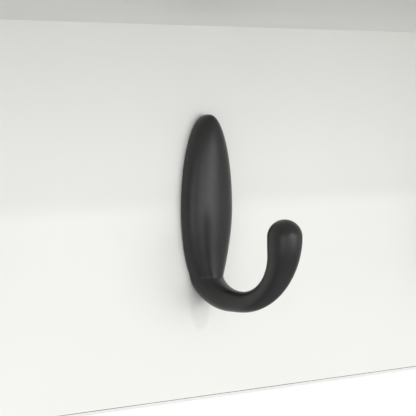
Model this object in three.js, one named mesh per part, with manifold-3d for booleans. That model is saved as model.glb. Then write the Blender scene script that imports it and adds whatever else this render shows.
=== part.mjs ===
// Wall hook rack: a white shelf on two end gables, a rail between them and black coat hooks on
// the rail. Millimetres, +Z up, X along the rack, the front faces -Y, and the origin is the
// centre of the rail's back face, on the wall.

import * as THREE from 'three';
import { LoftGeometry } from 'three/addons/geometries/LoftGeometry.js';
import { mergeVertices } from 'three/addons/utils/BufferGeometryUtils.js';
import Module from 'manifold-3d';

// Boards
const WIDTH = 800;
const SHELF_DEPTH = 300;
const RAIL_HEIGHT = 187;
const BOARD = 18;
const BAND = 1.5;
const GABLE_DEPTH = 280;
const GABLE_FOOT = 60;
const GABLE_NOSE = 32;
const GABLE_CORNER = 30;

// Hooks
const HOOK_COUNT = 4;
const HOOK_SPACING = 200;
const HOOK_RISE = 3;
const PLATE = {
  top: 46.5, bottom: 42.3, halfWidth: 15.8, front: 12.2, back: -6.2, tip: 4.6, foot: 10.8,
};
const PLATE_OUTLINE_POWER = 1.92;
const PLATE_DOME_POWER = 2.9;
const BALL = { out: 56.4, up: -12.2, radius: 8.6 };
const THROAT = { up: -40.4, radius: 20.5, entryRadius: 27, lag: 1.6 };
const BELLY = { up: -50.8, out: 19.8, entryRadius: 28, entryTurn: 1.22, flare: 1.5 };
const HOOK_SCREW_HEIGHTS = { upper: 22, lower: -13 };

// Fasteners and fittings, with the clearance that each one has in its hole
const CLEARANCE = 0.3;
// The pan head's rim and driver cross are shares of its height, its crown and cross of its radius
const PAN_HEAD = { rim: 0.6, crown: 0.75, cross: 1.1, crossDepth: 0.6 };
const SCREW = { shank: 2, length: 22, head: 4, headHeight: 2.5, recess: 3, chamfer: 0.5 };
const DOWEL = { radius: 4, length: 30, shallow: 10, chamfer: 1 };
const CAM = {
  radius: 7.5, height: 11.5, inset: 24, bolt: 4, chamfer: 1, cross: 9, crossDepth: 3,
};
const CAM_BOLT = {
  thread: 2.5, threadLength: 11, point: 2, stem: 3, neck: 2, neckLength: 4, head: 3.4,
  headLength: 3, chamfer: 1, length: 26,
};
const CAP = { radius: 8.5, height: 1.2, chamfer: 1 };
const HANGER = {
  width: 20, height: 60, thick: 2, corner: 3, x: 200, z: 50, hole: 4.5, slot: 2.25, rise: 12,
};
const HANGER_POCKET = { width: 13, height: 34, depth: 9 };
const WOOD_SCREW = {
  head: 3.3, headHeight: 1.8, crossDepth: 1, shank: 1.6, tip: 0.48, point: 4, length: 14,
  spacing: 48,
};
const CROSS_WIDTH = 0.25;
const OVERCUT = 1;
const FACETS = 10;
const WIDE_FACETS = 16;
const CORNER_FACETS = 3;
const GABLE_CORNER_FACETS = 8;

// Places of the boards' joints: up and down the rail, out from the wall, along the shelf
const RAIL_DOWEL_RISE = 60;
const GABLE_DOWEL_DEPTHS = { front: 235, rear: 60 };
const GABLE_CAM_DEPTH = 150;
const SHELF_DOWEL_SPACING = 300;

// Worked out from the driving dimensions
const TOP = RAIL_HEIGHT / 2;
const GABLE_X = (WIDTH - BOARD) / 2;
const RAIL_LENGTH = WIDTH - 2 * BOARD;
const RAIL_MID = -BOARD / 2;
const SIDES = { left: -1, right: 1 };

const FINISHES = {
  melamine: { color: 0xe9ebe6, roughness: 0.5, metalness: 0 },
  edging: { color: 0xe4e6e1, roughness: 0.45, metalness: 0 },
  black: { color: 0x2c2d2e, roughness: 0.45, metalness: 0 },
  zinc: { color: 0xb9bcbe, roughness: 0.35, metalness: 1 },
  beech: { color: 0xcfae82, roughness: 0.7, metalness: 0 },
  cap: { color: 0xeceeea, roughness: 0.4, metalness: 0 },
};

const wasm = await Module();
wasm.setup();
const rack = new THREE.Group();

/** Adds one named piece to the rack. */
function piece(name, geometry, finish, x = 0, y = 0, z = 0) {
  const mesh = new THREE.Mesh(geometry, new THREE.MeshStandardMaterial(FINISHES[finish]));
  mesh.name = name;
  mesh.position.set(x, y, z);
  rack.add(mesh);
}

function toSolid(geometry) {
  const shell = new THREE.BufferGeometry().copy(geometry);
  shell.deleteAttribute('normal');
  shell.deleteAttribute('uv');
  const merged = mergeVertices(shell);
  return new wasm.Manifold(new wasm.Mesh({
    numProp: 3,
    vertProperties: merged.attributes.position.array,
    triVerts: new Uint32Array(merged.index.array),
  }));
}

function toGeometry(solid) {
  const mesh = solid.getMesh();
  const geometry = new THREE.BufferGeometry();
  geometry.setAttribute('position', new THREE.BufferAttribute(mesh.vertProperties, 3));
  geometry.setIndex(new THREE.BufferAttribute(mesh.triVerts, 1));
  geometry.computeVertexNormals();
  return geometry;
}

/** The geometry less every cutter that is given. */
function cut(geometry, cutters) {
  const less = (solid, cutter) => solid.subtract(toSolid(cutter));
  return toGeometry(cutters.reduce(less, toSolid(geometry)));
}

/** Turns a geometry built along +Z to point along a direction, and puts it at a place. */
function aim(geometry, direction, place) {
  const turn = new THREE.Quaternion().setFromUnitVectors(new THREE.Vector3(0, 0, 1), direction);
  return geometry.applyQuaternion(turn).translate(place.x, place.y, place.z);
}

/** A turned solid on the +Z axis, from [radius, height] points that start and end on it. */
function turned(points, segments = FACETS) {
  const profile = points.map(([radius, height]) => new THREE.Vector2(radius, height));
  return new THREE.LatheGeometry(profile, segments).rotateX(Math.PI / 2);
}

/** A plain round cutter or pin from height 'low' to height 'high' on the +Z axis. */
function round(radius, low, high, segments = FACETS) {
  return turned([[0, low], [radius, low], [radius, high], [0, high]], segments);
}

function box(lowX, highX, lowY, highY, lowZ, highZ) {
  const geometry = new THREE.BoxGeometry(highX - lowX, highY - lowY, highZ - lowZ);
  return geometry.translate((lowX + highX) / 2, (lowY + highY) / 2, (lowZ + highZ) / 2);
}

const vector = (x, y, z) => new THREE.Vector3(x, y, z);

// ---- Places of the fasteners -------------------------------------------------------------

/** Joints between boards: 'at' is on the joint face, 'into' points into the deep-drilled board. */
function boardJoints() {
  const joints = { dowels: [], cams: [] };
  for (const [side, sign] of Object.entries(SIDES)) {
    const railEnd = sign * RAIL_LENGTH / 2;
    const intoRail = vector(-sign, 0, 0);
    const down = vector(0, 0, -1);
    const railDowels = { upper: RAIL_DOWEL_RISE, lower: -RAIL_DOWEL_RISE };
    for (const [level, z] of Object.entries(railDowels)) {
      joints.dowels.push({
        name: `${side}_rail_${level}_dowel`, at: vector(railEnd, RAIL_MID, z), into: intoRail,
      });
    }
    for (const [place, depth] of Object.entries(GABLE_DOWEL_DEPTHS)) {
      joints.dowels.push({
        name: `${side}_gable_${place}_dowel`, at: vector(sign * GABLE_X, -depth, TOP), into: down,
      });
    }
    joints.cams.push({
      name: `${side}_rail`, at: vector(railEnd, RAIL_MID, 0), into: intoRail,
      face: vector(0, 1, 0),
    });
    joints.cams.push({
      name: `${side}_gable`, at: vector(sign * GABLE_X, -GABLE_CAM_DEPTH, TOP), into: down,
      face: vector(-sign, 0, 0),
    });
    joints.cams.push({
      name: `${side}_shelf`, at: vector(sign * HOOK_SPACING / 2, RAIL_MID, TOP), into: down,
      face: vector(0, 1, 0),
    });
  }
  for (const [place, step] of Object.entries({ left: -1, middle: 0, right: 1 })) {
    const at = vector(step * SHELF_DOWEL_SPACING, RAIL_MID, TOP);
    joints.dowels.push({ name: `shelf_${place}_dowel`, at, into: vector(0, 0, -1) });
  }
  return joints;
}

const JOINTS = boardJoints();

/** Every hole that the dowels and cam fittings need; a board is cut by those that reach it. */
function joineryCutters() {
  const cutters = [];
  for (const { at, into } of JOINTS.dowels) {
    const deep = DOWEL.length - DOWEL.shallow + CLEARANCE;
    const hole = round(DOWEL.radius + CLEARANCE, -DOWEL.shallow - CLEARANCE, deep);
    cutters.push(aim(hole, into, at));
  }
  for (const { at, into, face } of JOINTS.cams) {
    const pilot = round(CAM_BOLT.thread + CLEARANCE, -CAM_BOLT.threadLength - CLEARANCE, OVERCUT);
    cutters.push(aim(pilot, into, at));
    cutters.push(aim(round(CAM.bolt, 0, CAM_BOLT.length + CLEARANCE), into, at));
    const seat = BOARD / 2 - CAM.height - 2 * CLEARANCE;
    const housing = round(CAM.radius + CLEARANCE, seat, BOARD / 2 + OVERCUT, WIDE_FACETS);
    cutters.push(aim(housing, face, camCentre(at, into)));
  }
  return cutters;
}

/** The point on a cam's axis that lies in the middle of its board's thickness. */
function camCentre(at, into) {
  return at.clone().addScaledVector(into, CAM.inset);
}

const hookX = (index) => (index - (HOOK_COUNT - 1) / 2) * HOOK_SPACING;
const HOOKS = Array.from({ length: HOOK_COUNT }, (_, index) => hookX(index));

// ---- Boards and edge bands ---------------------------------------------------------------

/** Adds a board, cut by those of the cutters that reach it. */
function board(name, geometry, cutters) {
  geometry.computeBoundingBox();
  const reaches = (cutter) => {
    cutter.computeBoundingBox();
    return cutter.boundingBox.intersectsBox(geometry.boundingBox);
  };
  const middle = geometry.boundingBox.getCenter(new THREE.Vector3());
  const cutBoard = cut(geometry, cutters.filter(reaches));
  piece(name, cutBoard.translate(-middle.x, -middle.y, -middle.z), 'melamine', ...middle);
}

/** A straight strip of edging between two corners. */
function band(name, ...corners) {
  const geometry = box(...corners);
  geometry.computeBoundingBox();
  const middle = geometry.boundingBox.getCenter(new THREE.Vector3());
  piece(name, geometry.translate(-middle.x, -middle.y, -middle.z), 'edging', ...middle);
}

function shelf(cutters) {
  const half = WIDTH / 2;
  const high = TOP + BOARD;
  const core = box(-half + BAND, half - BAND, -SHELF_DEPTH + BAND, 0, TOP, high);
  board('shelf_board', core, cutters);
  band('shelf_front_band', -half + BAND, half - BAND, -SHELF_DEPTH, -SHELF_DEPTH + BAND, TOP, high);
  band('shelf_left_band', -half, -half + BAND, -SHELF_DEPTH, 0, TOP, high);
  band('shelf_right_band', half - BAND, half, -SHELF_DEPTH, 0, TOP, high);
}

function rail(cutters) {
  const half = RAIL_LENGTH / 2;
  board('rail_board', box(-half, half, -BOARD, 0, -TOP + BAND, TOP), cutters);
  band('rail_bottom_band', -half, half, -BOARD, 0, -TOP, -TOP + BAND);
}

/** The gable's front edge from its top to the wall, as [distance from the wall, height]. */
function gableEdge() {
  const nose = new THREE.Vector2(GABLE_DEPTH, TOP - GABLE_NOSE);
  const foot = new THREE.Vector2(GABLE_FOOT, -TOP);
  const slope = foot.clone().sub(nose).normalize();
  const edge = new THREE.CurvePath();
  const noseStart = new THREE.Vector2(nose.x, nose.y + GABLE_CORNER);
  const noseEnd = nose.clone().addScaledVector(slope, GABLE_CORNER);
  const footStart = foot.clone().addScaledVector(slope, -GABLE_CORNER);
  const footEnd = new THREE.Vector2(foot.x - GABLE_CORNER, foot.y);
  edge.add(new THREE.LineCurve(new THREE.Vector2(GABLE_DEPTH, TOP), noseStart));
  edge.add(new THREE.QuadraticBezierCurve(noseStart, nose, noseEnd));
  edge.add(new THREE.LineCurve(noseEnd, footStart));
  edge.add(new THREE.QuadraticBezierCurve(footStart, foot, footEnd));
  edge.add(new THREE.LineCurve(footEnd, new THREE.Vector2(0, -TOP)));
  return edge.getPoints(GABLE_CORNER_FACETS);
}

/** The same edge moved into the board by the band's thickness. */
function insetEdge(edge) {
  return edge.map((point, index) => {
    const before = edge[Math.max(index - 1, 0)];
    const after = edge[Math.min(index + 1, edge.length - 1)];
    const along = after.clone().sub(before).normalize();
    return new THREE.Vector2(point.x + along.y * BAND, point.y - along.x * BAND);
  });
}

/** Extrudes an outline of [distance from the wall, height] points across a board's thickness. */
function acrossGable(outline, x) {
  const shape = new THREE.Shape(outline);
  const settings = { depth: BOARD, bevelEnabled: false, curveSegments: 1 };
  const geometry = new THREE.ExtrudeGeometry(shape, settings);
  const basis = new THREE.Matrix4().makeBasis(vector(0, -1, 0), vector(0, 0, 1), vector(-1, 0, 0));
  return geometry.applyMatrix4(basis).translate(x + BOARD / 2, 0, 0);
}

function gables(cutters) {
  const edge = gableEdge();
  const inset = insetEdge(edge);
  for (const [side, sign] of Object.entries(SIDES)) {
    const core = [...inset, new THREE.Vector2(0, TOP)];
    board(`${side}_gable`, acrossGable(core, sign * GABLE_X), cutters);
    const strip = acrossGable([...edge, ...inset.slice().reverse()], 0);
    piece(`${side}_gable_band`, strip, 'edging', sign * GABLE_X);
  }
}

// ---- Hooks -------------------------------------------------------------------------------

const RING_POINTS = 16;
const PLATE_RINGS = 7;
const LOW_PLATE_RINGS = 5;
const ENTRY_RINGS = 6;
const REACH_RINGS = 9;
const BALL_RINGS = 3;
const TIP_TRIM = 0.06;
const DOWN = -Math.PI / 2;

/** One ring of the hook, an oval between two facing points of its side view. */
function hookRing(inner, outer, half) {
  const middle = inner.clone().add(outer).multiplyScalar(0.5);
  const reach = inner.clone().sub(outer).multiplyScalar(0.5);
  return Array.from({ length: RING_POINTS }, (_, index) => {
    const angle = index / RING_POINTS * 2 * Math.PI;
    const point = middle.clone().addScaledVector(reach, Math.sin(angle));
    return vector(half * Math.cos(angle), -Math.max(point.x, 0), point.y);
  });
}

/** How wide an oval of that power is, as a share, at a height that is a share of its own. */
const superellipse = (height, power) => (1 - height ** power) ** (1 / power);

/** Half the plate's width at a height above its middle, or below it where that is negative. */
const plateHalf = (up) => (
  PLATE.halfWidth * superellipse(Math.max(up / PLATE.top, -up / PLATE.bottom), PLATE_OUTLINE_POWER));

/**
 * The hook's side view as arcs: the inner line is the throat and the outer line the underside.
 * The entry runs from the plate's foot to the lowest point and the reach from there to the ball.
 */
function hookLines() {
  const throatOut = BALL.out - BALL.radius - THROAT.radius;
  const footTurn = Math.asin((throatOut - PLATE.foot) / THROAT.entryRadius);
  const bellyRadius = BALL.up - BELLY.up;
  const bellyOut = BALL.out + BALL.radius - bellyRadius;
  const arc = (out, bottom, radius, from, to) => (
    new THREE.Path().absarc(out, bottom + radius, radius, from, to));
  return {
    entryInner: arc(throatOut, THROAT.up, THROAT.entryRadius, DOWN - footTurn, DOWN),
    entryOuter: arc(BELLY.out, BELLY.up, BELLY.entryRadius, DOWN - BELLY.entryTurn, DOWN)
      .lineTo(bellyOut, BELLY.up),
    reachInner: arc(throatOut, THROAT.up, THROAT.radius, DOWN, 0)
      .lineTo(BALL.out - BALL.radius, BALL.up),
    reachOuter: arc(bellyOut, BELLY.up, bellyRadius, DOWN, 0),
  };
}

/** Rings of the plate's upper half, an oval in front view with a domed front. */
function plateRings() {
  return Array.from({ length: PLATE_RINGS }, (_, index) => {
    const angle = (TIP_TRIM + (1 - TIP_TRIM) * index / PLATE_RINGS) * Math.PI / 2;
    const height = PLATE.top * Math.cos(angle);
    const domed = superellipse(Math.cos(angle), PLATE_DOME_POWER);
    const inner = new THREE.Vector2(PLATE.tip + (PLATE.front - PLATE.tip) * domed, height);
    const outer = new THREE.Vector2(PLATE.tip + (PLATE.back - PLATE.tip) * domed, height);
    return hookRing(inner, outer, plateHalf(height));
  });
}

/** Rings from the plate's widest line down to its foot. */
function lowPlateRings(innerFoot, outerFoot) {
  return Array.from({ length: LOW_PLATE_RINGS }, (_, index) => {
    const share = index / LOW_PLATE_RINGS;
    const ease = (1 - Math.cos(Math.PI * share)) / 2;
    const across = (from, foot) => (
      new THREE.Vector2(THREE.MathUtils.lerp(from, foot.x, ease), foot.y * share));
    const inner = across(PLATE.front, innerFoot);
    const outer = across(PLATE.back, outerFoot);
    return hookRing(inner, outer, plateHalf((inner.y + outer.y) / 2));
  });
}

/** Rings from the foot to the lowest point: as wide as the plate at first, then round. */
function entryRings(innerLine, outerLine) {
  const innerFoot = innerLine.getPoint(0);
  const footHalf = plateHalf((innerFoot.y + outerLine.getPoint(0).y) / 2);
  return Array.from({ length: ENTRY_RINGS }, (_, index) => {
    const share = index / ENTRY_RINGS;
    const inner = innerLine.getPoint(share ** THROAT.lag);
    const outer = outerLine.getPoint(share);
    const round = inner.distanceTo(outer) / 2;
    return hookRing(inner, outer, round + (footHalf - round) * (1 - share) ** BELLY.flare);
  });
}

/** Round rings from the lowest point up to the ball's middle. */
function reachRings(innerLine, outerLine) {
  return Array.from({ length: REACH_RINGS + 1 }, (_, index) => {
    const inner = innerLine.getPoint(index / REACH_RINGS);
    const outer = outerLine.getPoint(index / REACH_RINGS);
    return hookRing(inner, outer, inner.distanceTo(outer) / 2);
  });
}

/** Rings that close the ball as a half sphere above its middle. */
function ballRings() {
  return Array.from({ length: BALL_RINGS }, (_, index) => {
    const angle = (1 - TIP_TRIM) * (index + 1) / BALL_RINGS * Math.PI / 2;
    const radius = BALL.radius * Math.cos(angle);
    const up = BALL.up + BALL.radius * Math.sin(angle);
    const inner = new THREE.Vector2(BALL.out - radius, up);
    const outer = new THREE.Vector2(BALL.out + radius, up);
    return hookRing(inner, outer, radius);
  });
}

function hooks() {
  const { entryInner, entryOuter, reachInner, reachOuter } = hookLines();
  const rings = [
    ...plateRings(),
    ...lowPlateRings(entryInner.getPoint(0), entryOuter.getPoint(0)),
    ...entryRings(entryInner, entryOuter),
    ...reachRings(reachInner, reachOuter),
    ...ballRings(),
  ];
  const body = new LoftGeometry(rings, { capStart: true, capEnd: true });
  const depth = SCREW.length - (BOARD - SCREW.recess) + CLEARANCE;
  const taps = Object.values(HOOK_SCREW_HEIGHTS).map((z) => (
    aim(round(SCREW.shank + CLEARANCE, -OVERCUT, depth), vector(0, -1, 0), vector(0, 0, z))));
  for (const [index, x] of HOOKS.entries()) {
    piece(`hook_${index + 1}`, cut(body, taps), 'black', x, -BOARD, HOOK_RISE);
  }
}

// ---- Fasteners and fittings --------------------------------------------------------------

/** A cross recess for the driver, cut into a head whose top is at a height on the +Z axis. */
function driverCross(size, top, depth) {
  const width = size * CROSS_WIDTH;
  return [
    box(-size / 2, size / 2, -width / 2, width / 2, top - depth, top + OVERCUT),
    box(-width / 2, width / 2, -size / 2, size / 2, top - depth, top + OVERCUT),
  ];
}

/** The holes that take one hook's screws through the rail, from the back. */
function hookScrewHoles(x) {
  return Object.values(HOOK_SCREW_HEIGHTS).flatMap((z) => {
    const at = vector(x, 0, z + HOOK_RISE);
    const through = round(SCREW.shank + CLEARANCE, -OVERCUT, BOARD + OVERCUT);
    const recess = round(SCREW.head + CLEARANCE, -OVERCUT, SCREW.recess);
    return [aim(through, vector(0, -1, 0), at), aim(recess, vector(0, -1, 0), at)];
  });
}

/** A pan-head machine screw: its seat is at height 0, its shank runs down and its head up. */
function panScrew() {
  const { shank, length, head, headHeight, chamfer } = SCREW;
  const rim = headHeight * PAN_HEAD.rim;
  const crown = head * PAN_HEAD.crown;
  const cross = driverCross(head * PAN_HEAD.cross, headHeight, headHeight * PAN_HEAD.crossDepth);
  const body = turned([
    [0, -length], [shank - chamfer, -length], [shank, chamfer - length], [shank, 0],
    [head, 0], [head, rim], [crown, headHeight], [0, headHeight],
  ]);
  return cut(body, cross);
}

function hookScrews() {
  for (const [index, x] of HOOKS.entries()) {
    for (const [level, z] of Object.entries(HOOK_SCREW_HEIGHTS)) {
      const geometry = aim(panScrew(), vector(0, 1, 0), vector(0, 0, 0));
      piece(`hook_${index + 1}_${level}_screw`, geometry, 'zinc', x, -SCREW.recess, z + HOOK_RISE);
    }
  }
}

function dowels() {
  const { radius, length, shallow, chamfer } = DOWEL;
  const low = -shallow;
  const high = length - shallow;
  for (const { name, at, into } of JOINTS.dowels) {
    const body = turned([
      [0, low], [radius - chamfer, low], [radius, low + chamfer],
      [radius, high - chamfer], [radius - chamfer, high], [0, high],
    ]);
    piece(name, aim(body, into, vector(0, 0, 0)), 'beech', ...at);
  }
}

/** The bolt that a cam pulls on: thread below height 0, stem, neck and round head above it. */
function camBolt() {
  const { thread, threadLength, point, stem, neck, head, chamfer, length } = CAM_BOLT;
  const headStart = length - CAM_BOLT.headLength;
  const neckStart = headStart - CAM_BOLT.neckLength;
  return turned([
    [0, -threadLength], [thread, point - threadLength], [thread, 0], [stem, 0],
    [stem, neckStart - chamfer], [neck, neckStart], [neck, headStart],
    [head, headStart], [head, length - chamfer], [0, length],
  ]);
}

/** A cam disc on the +Z axis with a driver cross on top and a way in for the bolt's head. */
function camDisc(into) {
  const { radius, chamfer } = CAM;
  const top = BOARD / 2 - CLEARANCE;
  const low = top - CAM.height;
  const body = turned([
    [0, low], [radius, low], [radius, top - chamfer], [radius - chamfer, top], [0, top],
  ], WIDE_FACETS);
  const beyond = CAM_BOLT.length - CAM.inset + CLEARANCE;
  const wayIn = aim(
    round(CAM_BOLT.head + CLEARANCE, 0, beyond + radius + OVERCUT),
    into.clone().negate(),
    into.clone().multiplyScalar(beyond),
  );
  return cut(body, [...driverCross(CAM.cross, top, CAM.crossDepth), wayIn]);
}

function camFittings() {
  const up = vector(0, 0, 1);
  for (const { name, at, into, face } of JOINTS.cams) {
    piece(`${name}_cam_bolt`, aim(camBolt(), into, vector(0, 0, 0)), 'zinc', ...at);
    const unturn = new THREE.Quaternion().setFromUnitVectors(face, up);
    const disc = camDisc(into.clone().applyQuaternion(unturn));
    piece(`${name}_cam`, aim(disc, face, vector(0, 0, 0)), 'zinc', ...camCentre(at, into));
  }
}

/** Covers over the cams that face into the rack. */
function camCaps() {
  const { radius, height, chamfer } = CAP;
  for (const { name, at, into, face } of JOINTS.cams.filter((cam) => cam.name.endsWith('gable'))) {
    const body = turned([
      [0, 0], [radius, 0], [radius, height / 2], [radius - chamfer, height], [0, height],
    ], WIDE_FACETS);
    const place = camCentre(at, into).addScaledVector(face, BOARD / 2);
    piece(`${name}_cam_cap`, aim(body, face, vector(0, 0, 0)), 'cap', ...place);
  }
}

/** The outline of a countersunk screw, or of its hole when it is grown by the clearance. */
function countersunk(grow = 0) {
  const { head, headHeight, shank, tip, point, length } = WOOD_SCREW;
  return turned([
    [0, -length - grow], [tip + grow, -length - grow], [shank + grow, point - length],
    [shank + grow, -headHeight], [head + grow, 0], [0, 0],
  ]);
}

const hangerScrewHeights = () => ({
  upper: HANGER.z + WOOD_SCREW.spacing / 2, lower: HANGER.z - WOOD_SCREW.spacing / 2,
});

/** Recess, pocket and screw holes for the hanger plate at one side. */
function hangerCutters(x) {
  const { width, height, thick, z } = HANGER;
  const pocket = HANGER_POCKET;
  const halfWide = width / 2 + CLEARANCE;
  const halfHigh = height / 2 + CLEARANCE;
  const screws = Object.values(hangerScrewHeights()).map((level) => (
    aim(countersunk(CLEARANCE), vector(0, 1, 0), vector(x, -CLEARANCE, level))));
  return [
    box(x - halfWide, x + halfWide, -thick, OVERCUT, z - halfHigh, z + halfHigh),
    box(
      x - pocket.width / 2, x + pocket.width / 2, -pocket.depth, 0,
      z - pocket.height / 2, z + pocket.height / 2,
    ),
    ...screws,
  ];
}

/** A steel plate with a keyhole: its round hole takes a wall screw's head, its slot the shank. */
function hangerPlate() {
  const { width, height, thick, corner, hole, slot, rise } = HANGER;
  const lower = -rise / 2;
  const cutters = [
    round(hole, -thick - OVERCUT, OVERCUT, WIDE_FACETS).translate(0, lower, 0),
    round(slot, -thick - OVERCUT, OVERCUT).translate(0, lower + rise, 0),
    box(-slot, slot, lower, lower + rise, -thick - OVERCUT, OVERCUT),
    ...[1, -1].map((sign) => (
      countersunk(CLEARANCE).translate(0, sign * WOOD_SCREW.spacing / 2, 0))),
  ];
  const outline = new THREE.Shape();
  const x = width / 2;
  const y = height / 2;
  outline.absarc(x - corner, y - corner, corner, 0, Math.PI / 2);
  outline.absarc(corner - x, y - corner, corner, Math.PI / 2, Math.PI);
  outline.absarc(corner - x, corner - y, corner, Math.PI, 1.5 * Math.PI);
  outline.absarc(x - corner, corner - y, corner, 1.5 * Math.PI, 2 * Math.PI);
  const settings = { depth: thick, bevelEnabled: false, curveSegments: CORNER_FACETS };
  const blank = new THREE.ExtrudeGeometry(outline, settings).translate(0, 0, -thick);
  return cut(blank, cutters).rotateX(-Math.PI / 2).rotateY(Math.PI);
}

function hangers() {
  for (const [side, sign] of Object.entries(SIDES)) {
    const x = sign * HANGER.x;
    piece(`${side}_hanger_plate`, hangerPlate(), 'zinc', x, 0, HANGER.z);
    for (const [level, z] of Object.entries(hangerScrewHeights())) {
      const cross = driverCross(WOOD_SCREW.head, 0, WOOD_SCREW.crossDepth);
      const body = cut(countersunk(), cross);
      const geometry = aim(body, vector(0, 1, 0), vector(0, 0, 0));
      piece(`${side}_hanger_${level}_screw`, geometry, 'zinc', x, 0, z);
    }
  }
}

// ---- Assembly ----------------------------------------------------------------------------

const joinery = joineryCutters();
shelf(joinery);
rail([
  ...joinery,
  ...HOOKS.flatMap(hookScrewHoles),
  ...Object.values(SIDES).flatMap((sign) => hangerCutters(sign * HANGER.x)),
]);
gables(joinery);
hooks();
hookScrews();
dowels();
camFittings();
camCaps();
hangers();

export default rack;
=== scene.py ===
"""A white wall rack with black coat hooks, dressed for a studio picture. Metres, in the CAD frame."""

import math

import bmesh
import bpy
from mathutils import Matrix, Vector


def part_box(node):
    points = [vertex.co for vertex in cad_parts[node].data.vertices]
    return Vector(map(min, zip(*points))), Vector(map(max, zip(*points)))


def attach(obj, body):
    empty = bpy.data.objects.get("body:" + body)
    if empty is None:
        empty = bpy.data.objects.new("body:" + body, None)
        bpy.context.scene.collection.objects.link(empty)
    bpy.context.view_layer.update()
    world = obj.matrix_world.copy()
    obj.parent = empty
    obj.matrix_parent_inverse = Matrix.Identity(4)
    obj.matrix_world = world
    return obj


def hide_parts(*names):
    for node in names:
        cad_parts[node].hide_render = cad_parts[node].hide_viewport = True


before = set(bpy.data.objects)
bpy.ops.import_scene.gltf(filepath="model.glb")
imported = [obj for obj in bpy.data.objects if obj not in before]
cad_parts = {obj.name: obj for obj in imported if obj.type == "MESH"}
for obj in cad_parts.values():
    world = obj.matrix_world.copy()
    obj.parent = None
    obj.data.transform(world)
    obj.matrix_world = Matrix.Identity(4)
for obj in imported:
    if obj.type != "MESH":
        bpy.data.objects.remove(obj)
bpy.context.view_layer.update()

MM = 0.001
RAIL_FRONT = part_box("rail_board")[0].y
SHOWN_HOOK = "hook_3"
HOOKS = ("hook_1", "hook_2", "hook_3", "hook_4")

# ---- Small helpers -------------------------------------------------------------------------


def new_object(name, mesh, material):
    for polygon in mesh.polygons:
        polygon.use_smooth = True
    piece = bpy.data.objects.new(name, mesh)
    bpy.context.scene.collection.objects.link(piece)
    piece.data.materials.append(material)
    return piece


# ---- Materials -----------------------------------------------------------------------------


class Nodes:
    """A material's node tree with short calls to add nodes and link them."""

    def __init__(self, name):
        self.material = bpy.data.materials.new(name)
        self.material.use_nodes = True
        self.tree = self.material.node_tree
        self.shader = self.tree.nodes["Principled BSDF"]
        self.place = self.add("ShaderNodeTexCoord").outputs["Object"]

    def add(self, kind, **settings):
        node = self.tree.nodes.new(kind)
        for key, value in settings.items():
            if hasattr(node, key):
                setattr(node, key, value)
            else:
                node.inputs[key.replace("_", " ")].default_value = value
        return node

    def link(self, source, target):
        self.tree.links.new(source, target)

    def noise(self, scale, detail=4.0, roughness=0.55, stretch=None):
        texture = self.add("ShaderNodeTexNoise", Scale=scale, Detail=detail, Roughness=roughness)
        place = self.place
        if stretch:
            mapping = self.add("ShaderNodeMapping")
            mapping.inputs["Scale"].default_value = stretch
            self.link(place, mapping.inputs["Vector"])
            place = mapping.outputs["Vector"]
        self.link(place, texture.inputs["Vector"])
        return texture.outputs["Fac"]

    def ramp(self, source, *stops):
        node = self.add("ShaderNodeValToRGB")
        elements = node.color_ramp.elements
        for index, (position, colour) in enumerate(stops):
            element = elements[index] if index < 2 else elements.new(position)
            element.position = position
            element.color = (*colour, 1.0) if isinstance(colour, tuple) else (colour, colour, colour, 1.0)
        self.link(source, node.inputs["Fac"])
        return node.outputs["Color"]

    def bump(self, height, strength, distance, after=None):
        node = self.add("ShaderNodeBump", Strength=strength, Distance=distance)
        self.link(height, node.inputs["Height"])
        if after:
            self.link(after, node.inputs["Normal"])
        return node.outputs["Normal"]

    def set(self, **values):
        for key, value in values.items():
            socket = self.shader.inputs[key.replace("_", " ")]
            if hasattr(value, "links"):
                self.link(value, socket)
            else:
                socket.default_value = value


def shades(colour, spread):
    """A colour and a slightly darker one, as the two stops of a ramp."""
    return tuple(channel * (1 - spread) for channel in colour), colour


def black_coat():
    """Satin black powder coat: fine orange peel over slower waves, and cloudy gloss."""
    coat = Nodes("black_powder_coat")
    low, high = shades((0.0195, 0.0195, 0.0198), 0.25)
    tone = coat.ramp(coat.noise(60, 3), (0.35, low), (0.7, high))
    gloss = coat.ramp(coat.noise(350, 4), (0.3, 0.31), (0.75, 0.38))
    peel = coat.bump(coat.noise(2600, 2), 0.10, 0.00012)
    waves = coat.bump(coat.noise(420, 2), 0.05, 0.0002, after=peel)
    coat.set(Base_Color=tone, Roughness=gloss, Specular_IOR_Level=0.42, Normal=waves)
    return coat.material


def melamine():
    """Warm white melamine on board: cloudy tone, a fine pearl grain and faint rub marks."""
    white = Nodes("white_melamine")
    low, high = shades((0.90, 0.905, 0.875), 0.025)
    tone = white.ramp(white.noise(9, 5, 0.6), (0.3, low), (0.7, high))
    rub = white.noise(28, 6, 0.7, stretch=(0.25, 3.0, 3.0))
    gloss = white.ramp(rub, (0.35, 0.42), (0.72, 0.56))
    pearl = white.bump(white.noise(1500, 3, 0.6), 0.12, 0.00006)
    wave = white.bump(white.noise(55, 2), 0.04, 0.0002, after=pearl)
    white.set(Base_Color=tone, Roughness=gloss, Specular_IOR_Level=0.4, Normal=wave)
    return white.material


def edging():
    """Matching plastic edge band: a shade glossier, with faint planing lines along it."""
    strip = Nodes("white_edge_band")
    low, high = shades((0.87, 0.875, 0.845), 0.03)
    tone = strip.ramp(strip.noise(22, 4), (0.3, low), (0.7, high))
    gloss = strip.ramp(strip.noise(90, 4), (0.3, 0.34), (0.7, 0.45))
    planing = strip.bump(strip.noise(1100, 2, stretch=(0.03, 1.0, 1.0)), 0.12, 0.00005)
    strip.set(Base_Color=tone, Roughness=gloss, Specular_IOR_Level=0.45, Normal=planing)
    return strip.material


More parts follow.
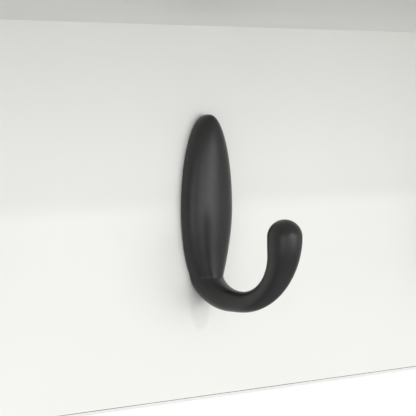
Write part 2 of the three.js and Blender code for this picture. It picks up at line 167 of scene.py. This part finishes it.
def particle_board():
    """Bare particleboard: coarse pale chips in a darker binder, rough and slightly pitted."""
    chips = Nodes("particle_board")
    cells = chips.add("ShaderNodeTexVoronoi", Scale=620.0, Randomness=1.0)
    chips.link(chips.place, cells.inputs["Vector"])
    grey = chips.add("ShaderNodeSeparateXYZ")
    chips.link(cells.outputs["Color"], grey.inputs[0])
    tone = chips.ramp(
        grey.outputs["X"], (0.0, (0.30, 0.19, 0.10)), (0.45, (0.52, 0.37, 0.22)), (1.0, (0.66, 0.50, 0.32)))
    fine = chips.noise(1400, 5, 0.7)
    rough = chips.ramp(fine, (0.3, 0.75), (0.7, 0.95))
    pits = chips.bump(cells.outputs["Distance"], 0.5, 0.0003, after=chips.bump(fine, 0.4, 0.0003))
    chips.set(Base_Color=tone, Roughness=rough, Specular_IOR_Level=0.2, Normal=pits)
    return chips.material


def plated(name, colour, rough, streak):
    """Bright plated or brushed metal: spangled tone, patchy gloss and fine lines along one axis or none."""
    metal = Nodes(name)
    low, high = shades(colour, 0.12)
    tone = metal.ramp(metal.noise(240, 5, 0.65), (0.3, low), (0.7, high))
    gloss = metal.ramp(metal.noise(500, 4), (0.3, rough * 0.8), (0.7, rough * 1.25))
    lines = metal.bump(metal.noise(1800, 3, stretch=streak), 0.12, 0.00008)
    metal.set(Base_Color=tone, Roughness=gloss, Metallic=1.0, Normal=lines)
    return metal.material


def beech():
    """Fluted beech dowel: pale wood with fine grain along X."""
    wood = Nodes("beech")
    grain = wood.noise(700, 5, 0.6, stretch=(0.06, 1.0, 1.0))
    tone = wood.ramp(grain, (0.3, (0.50, 0.33, 0.18)), (0.55, (0.63, 0.45, 0.27)), (0.8, (0.70, 0.53, 0.35)))
    rough = wood.ramp(grain, (0.3, 0.55), (0.7, 0.75))
    wood.set(Base_Color=tone, Roughness=rough, Normal=wood.bump(grain, 0.35, 0.0002))
    return wood.material


def cap_plastic():
    """Moulded white plastic cap: fine spark texture."""
    plastic = Nodes("cap_plastic")
    low, high = shades((0.84, 0.845, 0.82), 0.03)
    tone = plastic.ramp(plastic.noise(120, 3), (0.3, low), (0.7, high))
    gloss = plastic.ramp(plastic.noise(800, 3), (0.3, 0.38), (0.7, 0.5))
    spark = plastic.bump(plastic.noise(3000, 3), 0.15, 0.00005)
    plastic.set(Base_Color=tone, Roughness=gloss, Normal=spark)
    return plastic.material


# ---- Boards and fittings -------------------------------------------------------------------

ARRIS = 0.0003
METAL_EDGE = 0.0002
SHARP_EDGE = math.radians(35)
WELD_REACH = 1e-6
FACES_WALL = 0.9
BEAD_RADIUS = 0.00028
BEAD_DEPTH = 0.00025
BEAD_POINTS = 10
BEAD_STEPS = 120
BEAD_SWELL = 0.12
BEAD_FAST_WAVE = 61
BEAD_SLOW_WAVE = 23


def soften(cad, width, segments=3):
    """Rounds a CAD part's sharp edges, inside its own outline."""
    weld = cad.modifiers.new("weld", "WELD")
    weld.merge_threshold = WELD_REACH
    bevel = cad.modifiers.new("arris", "BEVEL")
    bevel.width = width
    bevel.segments = segments
    bevel.limit_method = "ANGLE"
    bevel.angle_limit = SHARP_EDGE
    bevel.use_clamp_overlap = True


def finish_of(node):
    """The finish that a CAD node's name calls for."""
    if node.endswith("cam_cap"):
        return "cap"
    for word, finish in (
        ("band", "edging"), ("board", "melamine"), ("dowel", "beech"), ("bolt", "zinc"),
        ("cam", "cam"), ("screw", "zinc"), ("plate", "steel"), ("gable", "melamine"),
    ):
        if word in node:
            return finish
    return "coat"


def bead(name, start, end, out, material):
    """A joint's thin dark line along a straight edge, sunk just below the face that looks 'out': glue,
    darkened as painted shade of the rounded edge.
    """
    start, end, out = Vector(start), Vector(end), Vector(out)
    side = (end - start).normalized().cross(out)
    shape = bmesh.new()
    rows = []
    for step in range(BEAD_STEPS + 1):
        share = step / BEAD_STEPS
        waves = math.sin(share * BEAD_FAST_WAVE) * math.sin(share * BEAD_SLOW_WAVE + 1)
        swell = 1 + BEAD_SWELL * waves
        centre = start.lerp(end, share) - out * BEAD_DEPTH
        row = []
        for index in range(BEAD_POINTS):
            angle = index / BEAD_POINTS * 2 * math.pi
            around = out * math.sin(angle) + side * math.cos(angle) * swell
            row.append(shape.verts.new(centre + around * BEAD_RADIUS))
        rows.append(row)
    for low, high in zip(rows, rows[1:]):
        for index in range(BEAD_POINTS):
            after = (index + 1) % BEAD_POINTS
            shape.faces.new((low[index], low[after], high[after], high[index]))
    shape.faces.new(reversed(rows[0]))
    shape.faces.new(rows[-1])
    bmesh.ops.recalc_face_normals(shape, faces=shape.faces)
    mesh = bpy.data.meshes.new(name)
    shape.to_mesh(mesh)
    shape.free()
    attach(new_object(name, mesh, material), "root")


def glue_and_shade_lines(material):
    """The joints between the boards and their straight edge bands, drawn as dark lines: glue, and painted
    shade of the rounded edges.
    """
    low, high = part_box("rail_board")
    # Painted shade: a dark line along the rail's bottom front edge, where the rounded edge would be in
    # shade.
    bead("rail_glue_and_shade_line", (low.x, low.y, low.z), (high.x, low.y, low.z), (0, -1, 0), material)
    low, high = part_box("shelf_board")
    for face, z, out in (("top", high.z, (0, 0, 1)), ("under", low.z, (0, 0, -1))):
        bead(f"shelf_front_{face}_glue_line", (low.x, low.y, z), (high.x, low.y, z), out, material)
        for side, x in (("left", low.x), ("right", high.x)):
            bead(f"shelf_{side}_{face}_glue_line", (x, low.y, z), (x, high.y, z), out, material)


def glue_and_shade():
    """Dark grey hot-melt glue, cloudy and slightly shiny, made dark as painted shade of the rounded board
    edges.
    """
    line = Nodes("edge_glue_and_painted_shade")
    # Painted shade: this dark grey stands in for the shade on the rounded edges as well as the glue's own
    # colour.
    tone = line.ramp(line.noise(300, 4), (0.3, (0.075, 0.075, 0.08)), (0.7, (0.11, 0.11, 0.115)))
    gloss = line.ramp(line.noise(900, 3), (0.3, 0.4), (0.7, 0.6))
    line.set(Base_Color=tone, Roughness=gloss, Normal=line.bump(line.noise(2000, 2), 0.2, 0.00005))
    return line.material


def raw_edges(cad, bare):
    """Bare particleboard on the edges against the wall, which have no band, but not on the rail's back."""
    cad.data.materials.append(bare)
    for polygon in cad.data.polygons:
        raw = polygon.normal.y > FACES_WALL and cad.name != "rail_board"
        polygon.material_index = 1 if raw else 0


# ---- The fine hooks ------------------------------------------------------------------------

# A hook's side view in millimetres: 'out' runs from the rail's face, 'up' from the plate's middle.
PLATE_TOP = 46.5
PLATE_BOTTOM = 42.3
PLATE_HALF_WIDTH = 15.8
PLATE_FRONT = 12.2
PLATE_BACK = -6.2
PLATE_TIP = 4.6
PLATE_FOOT = 10.8
PLATE_OUTLINE_POWER = 1.92
PLATE_DOME_POWER = 2.9
BALL_OUT = 56.4
BALL_UP = -12.2
BALL_RADIUS = 8.6
THROAT_UP = -40.4
THROAT_RADIUS = 20.5
THROAT_ENTRY_RADIUS = 27
THROAT_LAG = 1.6
BELLY_UP = -50.8
BELLY_OUT = 19.8
BELLY_ENTRY_RADIUS = 28
BELLY_ENTRY_TURN = 1.22
BELLY_FLARE = 1.5
RING_POINTS = 72
PLATE_RINGS = 44
LOW_PLATE_RINGS = 56
ENTRY_RINGS = 60
REACH_RINGS = 90
BALL_RINGS = 20
TIP_TRIM = 0.004
TIP_CROWDING = 1.6
CREASE_PASSES = 6
MERGE_REACH = 1e-7
DOWN = -math.pi / 2


def arc(out, bottom, radius, start, end):
    """An arc above its lowest height: its length, and its point at a share of that length."""
    def point(share):
        angle = start + (end - start) * share
        return out + radius * math.cos(angle), bottom + radius + radius * math.sin(angle)
    return radius * (end - start), point


def straight(start, end):
    """A straight stretch, in the same form as an arc."""
    return math.dist(start, end), lambda share: blend(start, end, share)


def blend(start, end, share):
    return tuple(a + (b - a) * share for a, b in zip(start, end))


def walk(stretches, share):
    """The point at a share of the whole length of some stretches."""
    left = share * sum(length for length, _ in stretches)
    for length, point in stretches[:-1]:
        if left <= length:
            return point(left / length)
        left -= length
    length, point = stretches[-1]
    return point(min(left / length, 1.0))


def hook_ring(inner, outer, half):
    """Points of one oval section between two facing points, cut flat by the rail's face."""
    ring = []
    for index in range(RING_POINTS):
        angle = index / RING_POINTS * 2 * math.pi
        out, up = blend(outer, inner, (1 + math.sin(angle)) / 2)
        ring.append((half * math.cos(angle), -max(out, 0.0), up))
    return ring


def superellipse(height, power):
    """How wide an oval of that power is, as a share, at a share of its height."""
    return (1 - height ** power) ** (1 / power)


def plate_half(up):
    return PLATE_HALF_WIDTH * superellipse(max(up / PLATE_TOP, -up / PLATE_BOTTOM), PLATE_OUTLINE_POWER)


def plate_rings():
    """The plate's upper half: an oval from the front, with a domed front."""
    rings = []
    for index in range(PLATE_RINGS):
        angle = (TIP_TRIM + (1 - TIP_TRIM) * (index / PLATE_RINGS) ** TIP_CROWDING) * math.pi / 2
        up = PLATE_TOP * math.cos(angle)
        domed = superellipse(math.cos(angle), PLATE_DOME_POWER)
        inner = (PLATE_TIP + (PLATE_FRONT - PLATE_TIP) * domed, up)
        outer = (PLATE_TIP + (PLATE_BACK - PLATE_TIP) * domed, up)
        rings.append(hook_ring(inner, outer, plate_half(up)))
    return rings


def low_plate_rings(inner_foot, outer_foot):
    """From the plate's widest line down to its foot."""
    rings = []
    for index in range(LOW_PLATE_RINGS):
        share = index / LOW_PLATE_RINGS
        ease = (1 - math.cos(math.pi * share)) / 2
        inner = (PLATE_FRONT + (inner_foot[0] - PLATE_FRONT) * ease, inner_foot[1] * share)
        outer = (PLATE_BACK + (outer_foot[0] - PLATE_BACK) * ease, outer_foot[1] * share)
        rings.append(hook_ring(inner, outer, plate_half((inner[1] + outer[1]) / 2)))
    return rings


def arm_rings():
    """From the plate's foot through the arm's lowest point and up to the ball's middle."""
    throat_out = BALL_OUT - BALL_RADIUS - THROAT_RADIUS
    foot_turn = math.asin((throat_out - PLATE_FOOT) / THROAT_ENTRY_RADIUS)
    belly_radius = BALL_UP - BELLY_UP
    belly_out = BALL_OUT + BALL_RADIUS - belly_radius
    entry_inner = [arc(throat_out, THROAT_UP, THROAT_ENTRY_RADIUS, DOWN - foot_turn, DOWN)]
    entry_outer = [
        arc(BELLY_OUT, BELLY_UP, BELLY_ENTRY_RADIUS, DOWN - BELLY_ENTRY_TURN, DOWN),
        straight((BELLY_OUT, BELLY_UP), (belly_out, BELLY_UP)),
    ]
    reach_inner = [
        arc(throat_out, THROAT_UP, THROAT_RADIUS, DOWN, 0),
        straight((BALL_OUT - BALL_RADIUS, THROAT_UP + THROAT_RADIUS), (BALL_OUT - BALL_RADIUS, BALL_UP)),
    ]
    reach_outer = [arc(belly_out, BELLY_UP, belly_radius, DOWN, 0)]
    inner_foot, outer_foot = walk(entry_inner, 0), walk(entry_outer, 0)
    foot_half = plate_half((inner_foot[1] + outer_foot[1]) / 2)
    rings = low_plate_rings(inner_foot, outer_foot)
    for index in range(ENTRY_RINGS):
        share = index / ENTRY_RINGS
        inner, outer = walk(entry_inner, share ** THROAT_LAG), walk(entry_outer, share)
        half = math.dist(inner, outer) / 2
        rings.append(hook_ring(inner, outer, half + (foot_half - half) * (1 - share) ** BELLY_FLARE))
    for index in range(REACH_RINGS + 1):
        share = index / REACH_RINGS
        inner, outer = walk(reach_inner, share), walk(reach_outer, share)
        rings.append(hook_ring(inner, outer, math.dist(inner, outer) / 2))
    return rings


def ball_rings():
    """A half sphere that closes the ball above its middle."""
    rings = []
    for index in range(1, BALL_RINGS + 1):
        angle = (1 - TIP_TRIM) * index / BALL_RINGS * math.pi / 2
        radius, up = BALL_RADIUS * math.cos(angle), BALL_UP + BALL_RADIUS * math.sin(angle)
        rings.append(hook_ring((BALL_OUT - radius, up), (BALL_OUT + radius, up), radius))
    return rings


def softened(rings):
    """Rounds the crease at the plate's foot by averaging each ring with its neighbours."""
    for _ in range(CREASE_PASSES):
        inside = [
            [tuple((a + 2 * b + c) / 4 for a, b, c in zip(*points)) for points in zip(*three)]
            for three in zip(rings, rings[1:], rings[2:])
        ]
        rings = [rings[0], *inside, rings[-1]]
    return rings


def hook_rings():
    return [*plate_rings(), *softened(arm_rings()), *ball_rings()]


def hook_mesh():
    """The hook's closed skin, about its own origin on the rail's face."""
    shape = bmesh.new()
    rows = [[shape.verts.new([c * MM for c in point]) for point in ring] for ring in hook_rings()]
    for low, high in zip(rows, rows[1:]):
        for index in range(RING_POINTS):
            after = (index + 1) % RING_POINTS
            shape.faces.new((low[index], low[after], high[after], high[index]))
    shape.faces.new(reversed(rows[0]))
    shape.faces.new(rows[-1])
    bmesh.ops.remove_doubles(shape, verts=shape.verts, dist=MERGE_REACH)
    bmesh.ops.recalc_face_normals(shape, faces=shape.faces)
    mesh = bpy.data.meshes.new("hook_skin")
    shape.to_mesh(mesh)
    shape.free()
    return mesh


def fine_hooks(material):
    for node in HOOKS:
        low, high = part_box(node)
        piece = new_object(f"{node}_body", hook_mesh(), material)
        piece.location = ((low.x + high.x) / 2, RAIL_FRONT, high.z - PLATE_TOP * MM)
        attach(piece, "root")
        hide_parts(node)


# ---- Camera, lights and floor --------------------------------------------------------------

LENS = 187.0
SENSOR = 36.0
AZIMUTH = math.radians(-45)
ELEVATION = math.radians(3.06)
DISTANCE = 1.08
AIM_RIGHT = 0.0029
AIM_DOWN = 0.00025
LIGHT_TARGET = (0.1, 0, 0)
FLOOR_RADIUS = 1.1
FLOOR_PLACE = (0, -0.6, -1.1)


def camera():
    data = bpy.data.cameras.new("camera")
    data.lens = LENS
    data.sensor_width = SENSOR
    data.clip_start = 0.01
    eye = bpy.data.objects.new("camera", data)
    bpy.context.scene.collection.objects.link(eye)
    bpy.context.scene.camera = eye
    low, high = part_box(SHOWN_HOOK)
    aim = Vector(((low.x + high.x) / 2, RAIL_FRONT, high.z - PLATE_TOP * MM))
    back = Vector((
        math.sin(AZIMUTH) * math.cos(ELEVATION),
        -math.cos(AZIMUTH) * math.cos(ELEVATION),
        math.sin(ELEVATION),
    ))
    right = Vector((math.cos(AZIMUTH), math.sin(AZIMUTH), 0))
    down = -back.cross(right)
    aim += right * AIM_RIGHT + down * AIM_DOWN
    eye.location = aim + back * DISTANCE
    eye.rotation_mode = "QUATERNION"
    eye.rotation_quaternion = (-back).to_track_quat("-Z", "Y")


def area_light(name, place, size, power):
    data = bpy.data.lights.new(name, "AREA")
    data.shape = "RECTANGLE"
    data.size, data.size_y = size
    data.energy = power
    light = bpy.data.objects.new(name, data)
    bpy.context.scene.collection.objects.link(light)
    light.location = place
    light.rotation_mode = "QUATERNION"
    light.rotation_quaternion = (Vector(LIGHT_TARGET) - Vector(place)).to_track_quat("-Z", "Y")


# How bright the studio is by height, from straight below to straight above, and its strength.
STUDIO_STOPS = ((0.0, 0.24), (0.12, 0.3), (0.3, 0.6), (0.5, 1.0), (0.75, 0.8), (1.0, 0.7))
STUDIO_STRENGTH = 0.75


def surroundings():
    """A white backdrop for the eye, and soft light that comes mostly from the sides and above."""
    world = bpy.data.worlds.new("studio")
    world.use_nodes = True
    nodes, links = world.node_tree.nodes, world.node_tree.links
    place = nodes.new("ShaderNodeTexCoord")
    split = nodes.new("ShaderNodeSeparateXYZ")
    height = nodes.new("ShaderNodeMapRange")
    height.inputs["From Min"].default_value = -1
    shade = nodes.new("ShaderNodeValToRGB")
    for _ in STUDIO_STOPS[2:]:
        shade.color_ramp.elements.new(0.5)
    for element, (position, level) in zip(shade.color_ramp.elements, STUDIO_STOPS):
        element.position = position
        element.color = (level, level, level, 1)
    studio = nodes["Background"]
    studio.inputs["Strength"].default_value = STUDIO_STRENGTH
    backdrop = nodes.new("ShaderNodeBackground")
    backdrop.inputs["Color"].default_value = (1, 1, 1, 1)
    path = nodes.new("ShaderNodeLightPath")
    choose = nodes.new("ShaderNodeMixShader")
    links.new(place.outputs["Generated"], split.inputs[0])
    links.new(split.outputs["Z"], height.inputs["Value"])
    links.new(height.outputs[0], shade.inputs["Fac"])
    links.new(shade.outputs["Color"], studio.inputs["Color"])
    links.new(path.outputs["Is Camera Ray"], choose.inputs[0])
    links.new(studio.outputs[0], choose.inputs[1])
    links.new(backdrop.outputs[0], choose.inputs[2])
    links.new(choose.outputs[0], nodes["World Output"].inputs["Surface"])
    bpy.context.scene.world = world
    bpy.context.scene.view_settings.view_transform = "Standard"


def sun(name, azimuth, elevation, strength, spread):
    """A distant light, placed by where it comes from: azimuth 0 is straight in front."""
    data = bpy.data.lights.new(name, "SUN")
    data.energy = strength
    data.angle = math.radians(spread)
    light = bpy.data.objects.new(name, data)
    bpy.context.scene.collection.objects.link(light)
    a, e = math.radians(azimuth), math.radians(elevation)
    back = Vector((math.sin(a) * math.cos(e), -math.cos(a) * math.cos(e), math.sin(e)))
    light.rotation_mode = "QUATERNION"
    light.rotation_quaternion = back.to_track_quat("Z", "Y")


def floor(material):
    """A pale round floor well below the rack, out of the main picture."""
    bpy.ops.mesh.primitive_circle_add(
        vertices=96, radius=FLOOR_RADIUS, fill_type="NGON", location=FLOOR_PLACE)
    ground = bpy.context.object
    ground.name = "floor"
    ground.data.materials.append(material)


def floor_paint():
    paint = Nodes("floor_paint")
    tone = paint.ramp(paint.noise(3, 4), (0.3, (0.74, 0.74, 0.73)), (0.7, (0.78, 0.78, 0.77)))
    paint.set(Base_Color=tone, Roughness=0.7)
    return paint.material


camera()
surroundings()
sun("key", 2, 17.5, 0.28, 1.8)
area_light("front_softbox", (0.2, -3.0, 0.0), (3.4, 1.5), 23.5)
area_light("right_softbox", (1.3, -2.8, 0.1), (2.0, 1.4), 10)
area_light("left_softbox", (-2.4, -1.8, -0.2), (1.8, 1.6), 11)
floor(floor_paint())

fine_hooks(black_coat())
FINISHES = {
    "melamine": melamine(),
    "edging": edging(),
    "zinc": plated("zinc", (0.66, 0.67, 0.68), 0.30, (0.15, 1.0, 1.0)),
    "cam": plated("cam_zinc", (0.55, 0.55, 0.56), 0.42, (1.0, 1.0, 1.0)),
    "steel": plated("hanger_steel", (0.62, 0.63, 0.64), 0.34, (1.0, 1.0, 0.1)),
    "beech": beech(),
    "cap": cap_plastic(),
    # For the hooks' CAD bodies, which the fine hooks replace
    "coat": plated("spare", (0.1, 0.1, 0.1), 0.4, (1.0, 1.0, 1.0)),
}
glue_and_shade_lines(glue_and_shade())
bare = particle_board()
for node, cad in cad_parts.items():
    finish = finish_of(node)
    cad.data.materials.clear()
    cad.data.materials.append(FINISHES[finish])
    if finish == "melamine":
        raw_edges(cad, bare)
    soften(cad, ARRIS if finish in ("melamine", "edging") else METAL_EDGE)
